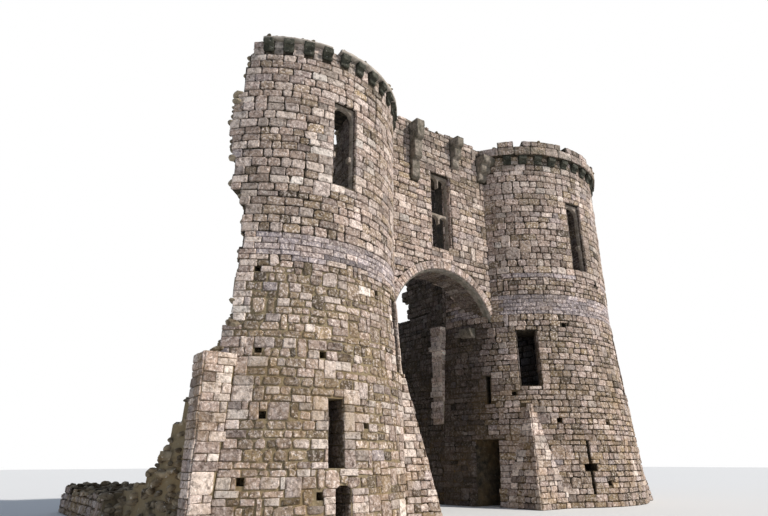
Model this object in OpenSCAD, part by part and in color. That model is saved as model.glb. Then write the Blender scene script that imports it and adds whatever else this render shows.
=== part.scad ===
// Front of a ruined castle gatehouse: two round-fronted towers on spurred feet,
// and between them a high round arch with a traceried window above it.
// X runs along the front, Y into the castle and Z up. The origin is on the ground,
// in the middle of the rectangle that the building covers. The pieces are worked out
// from the middle of the gate passage, level with the left tower's axis, and then placed.

/* [Towers] */
// Distance of each tower's axis from the middle of the gate
tower_x = 6545; // [6200:5:7200]
// Outer radius of the left tower above its battered foot
left_r = 4000; // [3700:50:4300]
// Outer radius of the right tower above its battered foot
right_r = 4400; // [3800:50:4600]
// How far the right tower's axis stands behind the left one's
right_back = 850; // [0:50:1000]
// Thickness of the tower walls above the batter
wall_t = 1350; // [1000:50:1600]
// Height at which the batter of the foot ends
batter_h = 7600; // [5500:100:8200]
// How much wider the radius is at the ground than above the batter
batter = 550; // [200:50:700]
// Length of the straight flanks behind the round fronts
flank_len = 6500; // [5000:100:8000]
// How far back the full height of the flanks still stands
standing_len = 2900; // [2000:100:4000]

/* [Storeys] */
// Top of the first floor
first_floor_h = 3600; // [3200:50:3700]
// Top of the second floor
second_floor_h = 8600; // [8200:50:9000]
// Thickness of the stone floors
floor_t = 500; // [300:50:700]
// Height of the left tower's wall at the top of its corbels
left_wall_h = 14330; // [14000:10:15000]
// Height of the right tower's wall at the top of its corbels
right_wall_h = 14780; // [14200:10:15400]
// Height of the broken flanks and the rear wall of the right tower
low_flank_h = 8100; // [7000:100:8400]
// Thickness of the facing that the left tower's stump has lost
lost_facing = 420; // [0:10:500]
// Height of the stump of the left tower's lost side
stump_h = 900; // [600:50:1500]

/* [Doors] */
// Width of the towers' side doors to the gate passage
door_w = 850; // [750:25:1000]
// Height of the side doors
door_h = 2400; // [2000:50:2600]
// How far the front jamb of a side door stands in front of the tower's axis
door_front = 2400; // [2200:50:2450]

/* [Spurs] */
// How much less than the tower's radius half the side of the square foot is at the ground
spur_less = 150; // [0:10:250]
// Height at which the left tower's spurs stop
spur_h = 4200; // [3600:100:4300]
// Thickness of a spur where its sides meet the drum
spur_edge = 60; // [40:5:100]

/* [Corbels] */
// Height of the corbel course around the towers
corbel_h = 400; // [300:10:600]
// Projection of the corbels from the wall
corbel_out = 220; // [150:10:350]
// Angle between one corbel and the next
corbel_step = 9; // [7:0.5:12]
// Angle that one corbel takes up
corbel_angle = 4.6; // [3:0.1:6]
// Height of the thin slab on the left tower's corbels
slab_h = 130; // [80:10:200]
// Height of the large parapet course on the right tower
parapet_h = 400; // [250:10:500]
// Height of the broken course on top of it
parapet_top_h = 280; // [150:10:350]
// Thickness of the parapet
parapet_t = 480; // [350:10:650]

/* [Gate] */
// Front face of the wall between the towers, in front of the towers' axes
gate_front = 1340; // [1000:20:1700]
// Thickness of the wall between the towers
gate_t = 1300; // [900:50:1600]
// Radius of the gate arch
arch_r = 2680; // [2500:20:2900]
// Middle of the arch, to the right of the middle between the towers
arch_x = 135; // [100:5:250]
// Height of the arch's centre
arch_h = 6140; // [5800:20:6400]
// Height of the corbels under the springing
impost_h = 420; // [300:20:600]
// Projection of those corbels from the towers
impost_out = 240; // [150:10:400]
// Depth of the ring of arch stones
ring_t = 400; // [300:10:500]
// Chamfer on the front edge of the arch
arch_chamfer = 70; // [30:5:120]
// Height of the wall over the gate window's head
wall_over_head = 2150; // [1900:50:2500]
// Width of the gate window
window_w = 1120; // [900:20:1300]
// Middle of the gate window, to the right of the middle of the gate
window_x = 55; // [-100:5:300]
// Height of wall between the arch stones and the gate window's sill
sill_over_arch = 530; // [400:10:800]
// Height of the gate window
window_h = 3450; // [3100:50:3800]
// Width of the gate window at the back of the wall
window_back_w = 1700; // [1300:50:2000]
// Width of the tracery bars
bar_w = 110; // [80:5:150]
// Depth of the tracery bars
bar_t = 180; // [120:10:250]
// How far the tracery stands behind the face of the wall
bar_in = 160; // [80:10:300]
// Width of the stepped brackets
bracket_w = 400; // [350:10:550]
// Projection of the stepped brackets
bracket_out = 550; // [400:50:800]
// Projection of the gate's side jambs into the passage
jamb_out = 350; // [200:10:500]
// How far the front of the side jambs stands behind the left tower's axis
jamb_back = 900; // [600:50:1500]
// Depth of the gate's side jambs
jamb_t = 600; // [400:50:800]
// Height of the gate's side jambs
jamb_h = 7200; // [6500:50:7600]

/* [Holes] */
// Side of the square scaffold holes
putlog = 190; // [120:10:250]
// Depth of the scaffold holes
putlog_deep = 450; // [300:50:700]
// Depth of a window's or loop's straight outer reveal
reveal = 320; // [200:20:500]

/* [Hidden] */
$fn = 720;
LEFT = -1;
RIGHT = 1;
big = 40000;
over = 60;
mid_x = (right_r - left_r) / 2;
mid_y = (right_back + flank_len - left_r - batter) / 2;
stone = "#b5a08c";
dressed = "#c4b6a6";
rubble = "#857764";
course = 480;
jamb_foot = 300;
break_rough = 260;
break_start = -54;
break_mid = -45;
stump_start = -50;
floor_broken = 1500;
spring_h = arch_h + 760;
wall_foot_h = arch_h + 1110;
window_sill = arch_h + arch_r + ring_t + sill_over_arch;
window_head = window_sill + window_h;
gate_wall_h = window_head + wall_over_head;
bracket_drop = 200;
left_bracket_h = 2650;
mid_bracket_h = 1450;
right_bracket_h = 1200;

// Each spur is [half the side of its square foot at the ground, how much that draws in for each metre, height].
left_outer_spur = [left_r - 500, 20, spur_h];
left_inner_spur = [left_r - spur_less, 184, spur_h];
right_inner_spur = [right_r - spur_less, 230, spur_h - 500];
right_outer_spur = [right_r - 650, 150, spur_h - 2200];

// Angles are measured from the front of a tower, to the right as seen from outside.
// Each opening is [angle, bottom, top, width outside, width inside].
left_openings = [
  [1.5, second_floor_h + 950, second_floor_h + 3900, 870, 1300],
  [41, first_floor_h + 600, first_floor_h + 3000, 800, 1200],
  [-2.3, 1450, 3150, 480, 900],
  [0, -over, 1050, 480, 700]
];
right_openings = [
  [-5, second_floor_h + 850, second_floor_h + 4050, 880, 1300],
  [-43, first_floor_h + 800, first_floor_h + 3050, 850, 1200],
  [27, first_floor_h + 700, first_floor_h + 3300, 850, 1200],
  [-64, first_floor_h + 150, first_floor_h + 1250, 180, 600],
  [-19.5, 450, 2350, 150, 700],
  [-19.5, 1250, 1500, 560, 700]
];
// Scaffold holes are [angle, height of the middle].
left_putlogs = [
  [-33, 6590], [-30.4, 4330], [-7.3, 4270], [-27.4, 2690], [-32.5, 1160], [-8, 820],
  [21.1, 6420], [10.7, 2520], [30.2, 3950]
];
right_putlogs = [
  [-51.6, 4090], [-31.6, 3090], [-5.2, 2970], [-37.4, 1050], [-10.6, 830], [-60, 10600], [-22, 6900], [8, 9000]
];
// Where stones of the right parapet's upper course are lost, from one angle to another.
parapet_gaps = [[-65, -50], [-41, -36], [-12, -8], [14, 24], [47, 52], [71, 90]];
// Where the left tower's face breaks off: height and angle.
broken_edge = [
  [3600, -50], [4300, -46], [5000, -40], [6700, -39], [8700, -41], [9000, -46], [11200, -51],
  [12700, -47], [14500, -43]
];
// How the left tower's lost side falls away: angle, and how much of the storey's height is left there.
stump_edge = [[-90, 0], [-80, 0.06], [-72, 0.2], [-67, 0.36], [-63, 0.6], [-59, 0.85], [-55, 1]];

function tower_r(side) = side < 0 ? left_r : right_r;
function tower_y(side) = side < 0 ? 0 : right_back;
function wall_h(side) = side < 0 ? left_wall_h : right_wall_h;
function openings(side) = side < 0 ? left_openings : right_openings;
function putlogs(side) = side < 0 ? left_putlogs : right_putlogs;
function out_r(r, h) = r + batter * max(0, 1 - h / batter_h);
function in_r(r) = r - wall_t;

// Outline of a wall in section, from its inner face at the axis side to its battered outer face.
function wall_section(r, h0, h1) = concat(
  [[in_r(r), h0], [out_r(r, h0), h0]],
  h0 < batter_h && h1 > batter_h ? [[r, batter_h]] : [],
  [[out_r(r, h1), h1], [in_r(r), h1]]
);

// Moves a finished piece so that the origin is in the middle of the building.
module placed() {
  translate([-mid_x, -mid_y, 0]) children();
}

module at_tower(side) {
  translate([side * tower_x, tower_y(side), 0]) children();
}

// A stretch of the round wall between two angles and two heights.
module ring_wall(r, a0, a1, h0, h1) {
  rotate([0, 0, a0 - 90]) rotate_extrude(angle = a1 - a0) polygon(wall_section(r, h0, h1));
}

// The whole drum as a solid, used to trim what dies into it.
module drum_solid(side) {
  r = tower_r(side);
  top = gate_wall_h + 1000;
  at_tower(side) rotate_extrude() polygon([[0, -over], [out_r(r, 0), -over], [out_r(r, 0), 0], [r, batter_h], [r, top], [0, top]]);
}

// A window, loop or door that widens towards the room.
module opening_cut(r, o) {
  back = in_r(r) - 300;
  front = r + batter + 500;
  rotate([0, 0, o[0] - 90]) translate([0, 0, o[1]]) linear_extrude(o[2] - o[1]) polygon([
    [front, -o[3] / 2], [front, o[3] / 2], [r - reveal, o[3] / 2],
    [back, o[4] / 2], [back, -o[4] / 2], [r - reveal, -o[3] / 2]
  ]);
}

// A square scaffold hole in the face of the drum.
module putlog_cut(r, p) {
  face = out_r(r, p[1]);
  rotate([0, 0, p[0] - 90]) translate([face - putlog_deep, -putlog / 2, p[1] - putlog / 2])
    cube([putlog_deep + 500, putlog, putlog]);
}

module wall_cuts(side, a0, a1, h0, h1) {
  r = tower_r(side);
  for (o = openings(side)) if (o[0] > a0 && o[0] < a1 && o[2] > h0 && o[1] < h1) opening_cut(r, o);
  for (p = putlogs(side)) if (p[0] > a0 && p[0] < a1 && p[1] > h0 && p[1] < h1) putlog_cut(r, p);
}

// The side door from a tower's room to the gate passage.
module door_cut(side) {
  at_tower(side) translate([side < 0 ? 0 : -big, -door_front, -over]) cube([big, door_w, door_h + over]);
}

// One storey of the round wall, between two angles, with its openings.
module storey_wall(side, a0, a1, h0, h1) {
  color(stone) at_tower(side) difference() {
    ring_wall(tower_r(side), a0, a1, h0, h1);
    wall_cuts(side, a0, a1, h0, h1);
  }
}

// The ground storey's wall towards the gate, with its side door.
module door_wall(side, a0, a1) {
  difference() {
    storey_wall(side, a0, a1, 0, first_floor_h);
    door_cut(side);
  }
}

// A storey whose left end is broken off course by course.
module broken_wall(side, a1, h0, h1, seed) {
  n = ceil((h1 - h0) / course);
  step = (h1 - h0) / n;
  mid_r = tower_r(side) - wall_t / 2;
  jitter = rands(-90, 90, n, seed);
  function edge(i) = mid_r * sin(lookup(h0 + (i + 0.5) * step, broken_edge) - break_mid) + jitter[i];
  color(stone) at_tower(side) difference() {
    ring_wall(tower_r(side), break_start, a1, h0, h1);
    through_wall(break_mid) polygon(concat(
      [[-big / 4, h0 - over]],
      [for (i = [0:n - 1]) each [
        [edge(i), i == 0 ? h0 - over : h0 + i * step],
        [edge(i), i == n - 1 ? h1 + over : h0 + (i + 1) * step]
      ]],
      [[-big / 4, h1 + over]]
    ));
    wall_cuts(side, -90, a1, h0, h1);
  }
}

// Drives an outline straight through the wall at an angle, as seen from outside.
module through_wall(a) {
  rotate([0, 0, a - 90]) rotate([90, 0, 90]) linear_extrude(big) children();
}

// The straight flank behind the round front, as a long wall with the same section.
module flank_bar(side, dir, h0, h1, len) {
  r = tower_r(side);
  at_tower(side) mirror([dir < 0 ? 1 : 0, 0, 0]) translate([0, len, 0]) rotate([90, 0, 0])
    linear_extrude(len) polygon(wall_section(r, h0, h1));
}

// Outline of a flank seen from the side, with a ragged rear edge.
function ragged_edge(len, h0, h1, seed) = let (
  n = ceil((h1 - h0) / course),
  step = (h1 - h0) / n,
  j = rands(-break_rough, break_rough, n, seed)
) concat(
  [[-over, h0 - over]],
  [for (i = [0:n - 1]) each [[len + j[i], i == 0 ? h0 - over : h0 + i * step], [len + j[i], h0 + (i + 1) * step]]],
  [[-over, h1]]
);

// Outline of a flank seen from the side: its top is level at first and then ragged.
function ragged_top(level_len, len, h1, seed, rough) = let (
  n = ceil((len - level_len) / course),
  step = (len - level_len) / n,
  j = rands(-rough, 0, n, seed)
) concat(
  [[0, 0], [0, h1]],
  [for (i = [0:n - 1]) each [[level_len + i * step, h1 + j[i]], [level_len + (i + 1) * step, h1 + j[i]]]],
  [[len, 0]]
);

module from_side(side) {
  translate([-big / 2, tower_y(side), 0]) rotate([90, 0, 90]) linear_extrude(big) children();
}

module flank_lower(side, dir, seed) {
  color(stone) intersection() {
    flank_bar(side, dir, 0, low_flank_h, flank_len);
    from_side(side) polygon(ragged_top(standing_len + break_rough, flank_len, low_flank_h, seed, break_rough));
  }
}

module flank_upper(side, dir, seed) {
  h1 = wall_h(side);
  color(stone) intersection() {
    flank_bar(side, dir, low_flank_h, h1, flank_len);
    from_side(side) polygon(ragged_edge(standing_len, low_flank_h, h1, seed));
  }
}

// Half the side of a spur's square foot at a height.
function foot_half(s, h) = s[0] - s[1] * h / 1000;

// How far from the axis the side of a spur has met the drum.
function spur_end(side, s, h) = sqrt(pow(out_r(tower_r(side), h) + spur_edge, 2) - pow(foot_half(s, h), 2));

// One corner of the square foot: its sides draw in with height, and only the corner stands out of the drum.
module spur(side, dir, s) {
  outline = [[spur_end(side, s, 0), 0], [s[0], 0], [foot_half(s, s[2]), s[2]], [spur_end(side, s, s[2]), s[2]]];
  color(dressed) difference() {
    at_tower(side) mirror([dir < 0 ? 1 : 0, 0, 0]) intersection() {
      rotate([90, 0, 0]) linear_extrude(2 * s[0]) polygon(outline);
      mirror([0, 1, 0]) rotate([90, 0, 90]) linear_extrude(2 * s[0]) polygon(outline);
    }
    drum_solid(side);
  }
}

// One corbel of two steps, shaped to the round wall behind it.
module corbel(r, a, top) {
  low = corbel_h * 0.45;
  rotate([0, 0, a - corbel_angle / 2 - 90]) rotate_extrude(angle = corbel_angle) polygon([
    [r, top - corbel_h], [r + corbel_out * 0.45, top - corbel_h], [r + corbel_out * 0.5, top - corbel_h + low],
    [r + corbel_out, top - corbel_h + low], [r + corbel_out, top], [r, top]
  ]);
}

// A level course on top of the wall, between two radii and two angles.
module ring_course(r0, r1, a0, a1, h, t) {
  rotate([0, 0, a0 - 90]) translate([0, 0, h]) rotate_extrude(angle = a1 - a0) translate([r0, 0]) square([r1 - r0, t]);
}

// The corbels of a tower between two angles, spaced from its front.
module corbel_course(side, a0, a1) {
  n = floor(90 / corbel_step);
  color(dressed) at_tower(side) for (i = [-n:n]) let (a = i * corbel_step)
    if (a > a0 && a < a1) corbel(tower_r(side), a, wall_h(side));
}

// Angle at which something that stands out from the gate wall meets a circle around a tower's axis.
function gate_angle(side, out, r) = acos((gate_front + out + tower_y(side)) / r);

module left_corbel_course() {
  corbel_course(LEFT, -40, gate_angle(LEFT, 0, left_r) - corbel_angle);
}

module right_corbel_course() {
  corbel_course(RIGHT, corbel_angle - gate_angle(RIGHT, bracket_out, right_r + corbel_out), 85);
}

// The thin slabs that are left of the left tower's parapet.
module left_parapet() {
  r = left_r;
  color(dressed) at_tower(LEFT) {
    ring_course(in_r(r) + 300, r + corbel_out, -3, gate_angle(LEFT, 0, r), left_wall_h, slab_h);
    ring_course(r - 400, r + corbel_out - 20, -38.5, -7, left_wall_h, slab_h * 0.7);
  }
}

// The large course of the right tower's parapet, and what is left of the smaller course on it.
module right_parapet() {
  r = right_r + corbel_out + 20;
  a0 = -gate_angle(RIGHT, 0, right_r);
  h = right_wall_h + parapet_h;
  color(dressed) at_tower(RIGHT) difference() {
    ring_course(r - parapet_t, r, a0, 86, right_wall_h, parapet_h + parapet_top_h);
    for (g = parapet_gaps) ring_course(r - parapet_t - over, r + over, g[0], g[1], h, parapet_top_h + over);
  }
}

// Plan of a tower's room, inside its walls.
module room_plan(r, len) {
  intersection() {
    union() {
      circle(r = in_r(r));
      translate([-in_r(r), 0]) square([2 * in_r(r), len]);
    }
    translate([-big / 2, -big / 2]) square([big, big / 2 + len]);
  }
}

module stone_floor(side, top, len, seed) {
  r = tower_r(side);
  n = 7;
  w = 2 * in_r(r);
  j = rands(-350, 350, n + 1, seed);
  color(rubble) at_tower(side) translate([0, 0, top - floor_t]) linear_extrude(floor_t) intersection() {
    room_plan(r, len + 400);
    polygon(concat([[-w, -w]], [for (i = [0:n]) [-w / 2 + i * w / n, len + j[i]]], [[w, len], [w, -w]]));
  }
}

// The left tower's floors end where its side is lost.
module broken_floor(side, top, len, seed) {
  r = tower_r(side);
  n = 6;
  j = rands(-300, 300, n + 1, seed);
  color(rubble) at_tower(side) translate([0, 0, top - floor_t]) linear_extrude(floor_t) intersection() {
    room_plan(r, len);
    polygon(concat(
      [[big / 4, -big / 4], [-floor_broken, -big / 4]],
      [for (i = [0:n]) [-floor_broken + j[i] + i * 350, -in_r(r) + i * (len + in_r(r)) / n]],
      [[big / 4, len]]
    ));
  }
}

// The lost side of the left tower: what is left of its wall falls away towards the back.
module left_ground_wall_outer() {
  mid = (stump_start - 90) / 2;
  n = len(stump_edge) - 1;
  function edge(i) = left_r * sin(stump_edge[i][0] - mid);
  function top(i) = stump_h + stump_edge[i][1] * (first_floor_h - stump_h);
  color(rubble) at_tower(LEFT) difference() {
    ring_wall(left_r - lost_facing, -90, stump_start, 0, first_floor_h);
    through_wall(mid) polygon(concat(
      [[-big / 4, top(0)]],
      [for (i = [1:n]) each [[edge(i), top(i - 1)], [edge(i), top(i)]]],
      [[edge(n), big / 4], [-big / 4, big / 4]]
    ));
  }
}

module left_ground_wall_front() { storey_wall(LEFT, stump_start, 20, 0, first_floor_h); }
module left_ground_wall_inner() { door_wall(LEFT, 20, 90); }
module left_first_wall_front() { broken_wall(LEFT, 18, first_floor_h, second_floor_h, 12); }
module left_first_wall_inner() { storey_wall(LEFT, 18, 90, first_floor_h, second_floor_h); }
module left_second_wall_front() { broken_wall(LEFT, 20, second_floor_h, left_wall_h, 23); }
module left_second_wall_inner() { storey_wall(LEFT, 20, 90, second_floor_h, left_wall_h); }
module left_spur_outer() { spur(LEFT, -1, left_outer_spur); }
module left_spur_inner() { spur(LEFT, 1, left_inner_spur); }
module left_first_floor() { broken_floor(LEFT, first_floor_h, 3500, 31); }
module left_second_floor() { broken_floor(LEFT, second_floor_h, 2400, 32); }

module rear_wall(side, h, rough, seed) {
  r = tower_r(side);
  w = in_r(r);
  n = 9;
  j = rands(-rough, 0, n, seed);
  color(rubble) at_tower(side) translate([0, flank_len, 0]) rotate([90, 0, 0]) linear_extrude(wall_t) polygon(concat(
    [[-w, 0]], [for (i = [0:n - 1]) each [[-w + i * 2 * w / n, h + j[i]], [-w + (i + 1) * 2 * w / n, h + j[i]]]], [[w, 0]]
  ));
}

module left_rear_stump() { rear_wall(LEFT, stump_h, stump_h / 3, 41); }

module left_outer_stump() {
  color(rubble) intersection() {
    flank_bar(LEFT, -1, 0, stump_h, flank_len);
    from_side(LEFT) polygon(ragged_top(0, flank_len, stump_h, 42, stump_h / 3));
  }
}

module left_gate_flank_lower() { flank_lower(LEFT, 1, 51); }
module left_gate_flank_upper() { flank_upper(LEFT, 1, 52); }
module right_ground_wall_inner() { door_wall(RIGHT, -90, -28); }
module right_ground_wall_front() { storey_wall(RIGHT, -28, 20, 0, first_floor_h); }
module right_ground_wall_outer() { storey_wall(RIGHT, 20, 90, 0, first_floor_h); }
module right_first_wall_inner() { storey_wall(RIGHT, -90, -20, first_floor_h, second_floor_h); }
module right_first_wall_front() { storey_wall(RIGHT, -20, 8, first_floor_h, second_floor_h); }
module right_first_wall_outer() { storey_wall(RIGHT, 8, 90, first_floor_h, second_floor_h); }
module right_second_wall_inner() { storey_wall(RIGHT, -90, -25, second_floor_h, right_wall_h); }
module right_second_wall_front() { storey_wall(RIGHT, -25, 20, second_floor_h, right_wall_h); }
module right_second_wall_outer() { storey_wall(RIGHT, 20, 90, second_floor_h, right_wall_h); }
module right_spur_inner() { spur(RIGHT, -1, right_inner_spur); }
module right_spur_outer() { spur(RIGHT, 1, right_outer_spur); }
module right_first_floor() { stone_floor(RIGHT, first_floor_h, 4300, 33); }
module right_second_floor() { stone_floor(RIGHT, second_floor_h, 2400, 34); }
module right_rear_wall() { rear_wall(RIGHT, low_flank_h, 500, 43); }
module right_gate_flank_lower() { flank_lower(RIGHT, -1, 53); }
module right_gate_flank_upper() { flank_upper(RIGHT, -1, 54); }
module right_outer_flank_lower() { flank_lower(RIGHT, 1, 55); }
module right_outer_flank_upper() { flank_upper(RIGHT, 1, 56); }

// The gate arch is a ring of stones that dies into both drums.
module gate_arch() {
  color(dressed) difference() {
    translate([arch_x, -gate_front, arch_h]) rotate([-90, 0, 0]) rotate([0, 0, 180]) rotate_extrude(angle = 180) polygon([
      [arch_r + arch_chamfer, 0], [arch_r + ring_t, 0], [arch_r + ring_t, gate_t], [arch_r, gate_t], [arch_r, arch_chamfer]
    ]);
    drum_solid(LEFT);
    drum_solid(RIGHT);
    below_springing();
  }
}

module below_springing() {
  translate([-big / 2, -big / 2, spring_h - big]) cube(big);
}

// A piece of the wall between the towers, shaped to the drums at its ends.
module gate_wall() {
  color(stone) difference() {
    children();
    drum_solid(LEFT);
    drum_solid(RIGHT);
  }
}

module gate_wall_lower() {
  gate_wall() difference() {
    translate([-tower_x / 2, -gate_front, wall_foot_h]) cube([tower_x, gate_t, window_sill - wall_foot_h]);
    translate([arch_x, 0, arch_h]) rotate([90, 0, 0]) cylinder(r = arch_r + ring_t, h = big, center = true);
  }
}

// The wall beside the gate window, splayed towards the back.
module window_side(dir) {
  translate([0, 0, window_sill]) linear_extrude(window_head - window_sill) polygon([
    [dir * tower_x / 2, -gate_front], [window_x + dir * window_w / 2, -gate_front],
    [window_x + dir * window_w / 2, -gate_front + reveal + bar_t],
    [window_x + dir * window_back_w / 2, gate_t - gate_front], [dir * tower_x / 2, gate_t - gate_front]
  ]);
}

module gate_wall_left() { gate_wall() window_side(-1); }
module gate_wall_right() { gate_wall() window_side(1); }

module gate_wall_head() {
  n = 12;
  w = tower_x / 2;
  j = rands(-160, 0, n, 61);
  gate_wall() translate([0, gate_t - gate_front, 0]) rotate([90, 0, 0]) linear_extrude(gate_t) polygon(concat(
    [[-w, window_head]],
    [for (i = [0:n - 1]) each [[-w + i * 2 * w / n, gate_wall_h + j[i]], [-w + (i + 1) * 2 * w / n, gate_wall_h + j[i]]]],
    [[w, window_head]]
  ));
}

// Two lights with a transom: the mullion is lost but for its ends.
module gate_window_tracery() {
  light = (window_w - 2 * bar_w) / 2;
  mid = (window_sill + window_head) / 2 - 80;
  color(dressed) translate([window_x, -gate_front + bar_in + bar_t, 0]) rotate([90, 0, 0]) linear_extrude(bar_t) difference() {
    translate([-window_w / 2, window_sill]) square([window_w, window_head - window_sill]);
    for (s = [-1, 1], base = [window_sill, mid]) {
      top = base == mid ? window_head - bar_w : mid - bar_w;
      translate([s * (light + bar_w) / 2 - s * bar_w / 4, 0]) {
        translate([-light / 2, base == mid ? base : base - 1]) square([light, top - base - light / 2]);
        translate([0, top - light / 2 - 1]) circle(r = light / 2);
      }
    }
    translate([-bar_w, window_sill - 1]) square([2 * bar_w, mid - window_sill - light]);
    translate([-bar_w, mid - 1]) square([2 * bar_w, window_head - mid - light - bar_w]);
  }
}

// A stepped bracket with rounded noses that once carried a parapet over the gate.
module bracket(x, w, h0, h1) {
  steps = 3;
  rise = (h1 - h0) / steps;
  out = bracket_out / steps;
  color(dressed) translate([x, -gate_front, 0]) rotate([90, 0, 90]) linear_extrude(w) polygon(concat(
    [[0, h1], [0, h0]],
    [for (i = [0:steps - 1], a = [0:30:90]) [-i * out - out * sin(a), h0 + i * rise + out * (1 - cos(a))]],
    [[-bracket_out, h1]]
  ));
}

module gate_brackets() {
  top = gate_wall_h - bracket_drop;
  right_face = tower_x - right_r * sin(gate_angle(RIGHT, 0, right_r));
  bracket(window_x - 1650, bracket_w, top - left_bracket_h, top);
  bracket(window_x + 650, bracket_w, top - mid_bracket_h, top);
  difference() {
    bracket(right_face - bracket_w, 2 * bracket_w, right_wall_h - right_bracket_h, right_wall_h);
    drum_solid(RIGHT);
  }
}

// The corbels under the arch's rear edge, rounded below and shaped to the drums behind them.
module gate_imposts() {
  nose = impost_h * 0.7;
  y = gate_t - gate_front;
  color(dressed) difference() {
    for (side = [LEFT, RIGHT]) {
      face = tower_x - sqrt(pow(tower_r(side), 2) - pow(tower_y(side) - y, 2)) - impost_out;
      mirror([side < 0 ? 1 : 0, 0, 0]) translate([face, y, spring_h - impost_h])
        rotate([90, 0, 0]) linear_extrude(gate_t / 2) union() {
          translate([nose, nose]) intersection() {
            circle(r = nose);
            translate([-nose, -nose]) square([2 * nose, nose]);
          }
          translate([0, nose]) square([2 * nose, impost_h - nose]);
        }
    }
    drum_solid(LEFT);
    drum_solid(RIGHT);
  }
}

// The flank's outline as a full block, used to trim what stands against its battered face.
module flank_block(side) {
  r = tower_r(side);
  at_tower(side) mirror([side < 0 ? 0 : 1, 0, 0]) translate([0, flank_len, 0]) rotate([90, 0, 0])
    linear_extrude(2 * flank_len)
      polygon([[-over, -over], [out_r(r, 0), -over], [out_r(r, 0), 0], [r, batter_h], [r, big], [-over, big]]);
}

// A pier of squared stones against the passage wall, from the top of the batter's widest part upwards.
module gate_jamb(side) {
  foot = batter_h * (1 - jamb_out / batter) + jamb_foot;
  color(dressed) difference() {
    mirror([side < 0 ? 1 : 0, 0, 0]) translate([tower_x - tower_r(side) - jamb_out, jamb_back, foot])
      cube([tower_r(side), jamb_t, jamb_h - foot]);
    flank_block(side);
  }
}

module gate_jambs() {
  gate_jamb(LEFT);
  gate_jamb(RIGHT);
}

// Dressed frame of an upper window, with the stubs of its lost transom.
module upper_window(side) {
  r = tower_r(side);
  o = openings(side)[0];
  w = o[3];
  h = o[2] - o[1];
  color(dressed) at_tower(side) rotate([0, 0, o[0] - 90]) translate([r - reveal + 20, 0, o[1]])
    rotate([90, 0, 90]) linear_extrude(bar_t) difference() {
      translate([-w / 2, 0]) square([w, h]);
      translate([-w / 2 + bar_w * 0.7, -1]) square([w - bar_w * 1.4, h * 0.34]);
      translate([-w / 2 + bar_w * 0.7, h * 0.4]) square([w - bar_w * 1.4, h * 0.45]);
      translate([0, h * 0.85]) circle(r = w / 2 - bar_w * 0.7);
      translate([-w * 0.28, h * 0.3]) square([w * 0.56, h * 0.2]);
    }
}

module left_upper_window() { upper_window(LEFT); }
module right_upper_window() { upper_window(RIGHT); }

placed() left_ground_wall_outer();
placed() left_ground_wall_front();
placed() left_ground_wall_inner();
placed() left_first_wall_front();
placed() left_first_wall_inner();
placed() left_second_wall_front();
placed() left_second_wall_inner();
placed() left_spur_outer();
placed() left_spur_inner();
placed() left_corbel_course();
placed() left_parapet();
placed() left_upper_window();
placed() left_first_floor();
placed() left_second_floor();
placed() left_rear_stump();
placed() left_outer_stump();
placed() left_gate_flank_lower();
placed() left_gate_flank_upper();
placed() right_ground_wall_inner();
placed() right_ground_wall_front();
placed() right_ground_wall_outer();
placed() right_first_wall_inner();
placed() right_first_wall_front();
placed() right_first_wall_outer();
placed() right_second_wall_inner();
placed() right_second_wall_front();
placed() right_second_wall_outer();
placed() right_spur_inner();
placed() right_spur_outer();
placed() right_corbel_course();
placed() right_parapet();
placed() right_upper_window();
placed() right_first_floor();
placed() right_second_floor();
placed() right_rear_wall();
placed() right_gate_flank_lower();
placed() right_gate_flank_upper();
placed() right_outer_flank_lower();
placed() right_outer_flank_upper();
placed() gate_arch();
placed() gate_wall_lower();
placed() gate_wall_left();
placed() gate_wall_right();
placed() gate_wall_head();
placed() gate_window_tracery();
placed() gate_brackets();
placed() gate_imposts();
placed() gate_jambs();
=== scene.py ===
# Looks of the ruined castle gatehouse. The stones are laid course by course on the faces of
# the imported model, which stays in sight between them as the mortar.
import math

import bpy
import numpy as np
from mathutils import Matrix, Vector
from mathutils.bvhtree import BVHTree


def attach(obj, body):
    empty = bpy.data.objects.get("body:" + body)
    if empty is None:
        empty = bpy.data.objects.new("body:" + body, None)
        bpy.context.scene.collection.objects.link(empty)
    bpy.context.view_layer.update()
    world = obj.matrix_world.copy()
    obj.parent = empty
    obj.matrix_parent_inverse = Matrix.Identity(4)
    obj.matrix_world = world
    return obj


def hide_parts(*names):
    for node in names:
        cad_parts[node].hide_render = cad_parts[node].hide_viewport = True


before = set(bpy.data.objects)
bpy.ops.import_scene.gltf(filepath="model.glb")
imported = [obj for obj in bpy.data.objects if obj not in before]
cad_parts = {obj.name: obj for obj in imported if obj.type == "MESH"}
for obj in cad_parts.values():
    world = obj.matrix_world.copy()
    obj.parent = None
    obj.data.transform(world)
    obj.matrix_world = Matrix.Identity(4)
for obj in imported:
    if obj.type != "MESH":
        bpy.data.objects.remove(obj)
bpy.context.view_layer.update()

# Sizes of the part, in metres
LEFT_AXIS = (-6.745, -1.4)
RIGHT_AXIS = (6.345, -0.55)
LEFT_R = 4.0
RIGHT_R = 4.4
WALL_T = 1.35
BATTER = 0.55
BATTER_H = 7.6
FLANK_LEN = 6.5
LOW_FLANK_H = 8.1
FIRST_FLOOR = 3.6
SECOND_FLOOR = 8.6
LEFT_TOP = 14.33
RIGHT_TOP = 14.78
CORBEL_OUT = 0.22
PARAPET_H = 0.4
PARAPET_TOP_H = 0.28
GATE_FRONT = -2.74
GATE_BACK = -1.44
GATE_TOP = 15.35
GATE_HALF = 3.3
ARCH_X = -0.065
ARCH_Z = 6.14
ARCH_R = 2.68
RING_T = 0.4
CHAMFER = 0.07
ARCH_EDGE = 0.3
WINDOW_X = -0.145
WINDOW_W = 1.12
WINDOW_SILL = 9.75
WINDOW_HEAD = 13.2
JAMB_OUT = 0.35
JAMB_FRONT = -0.5
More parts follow.
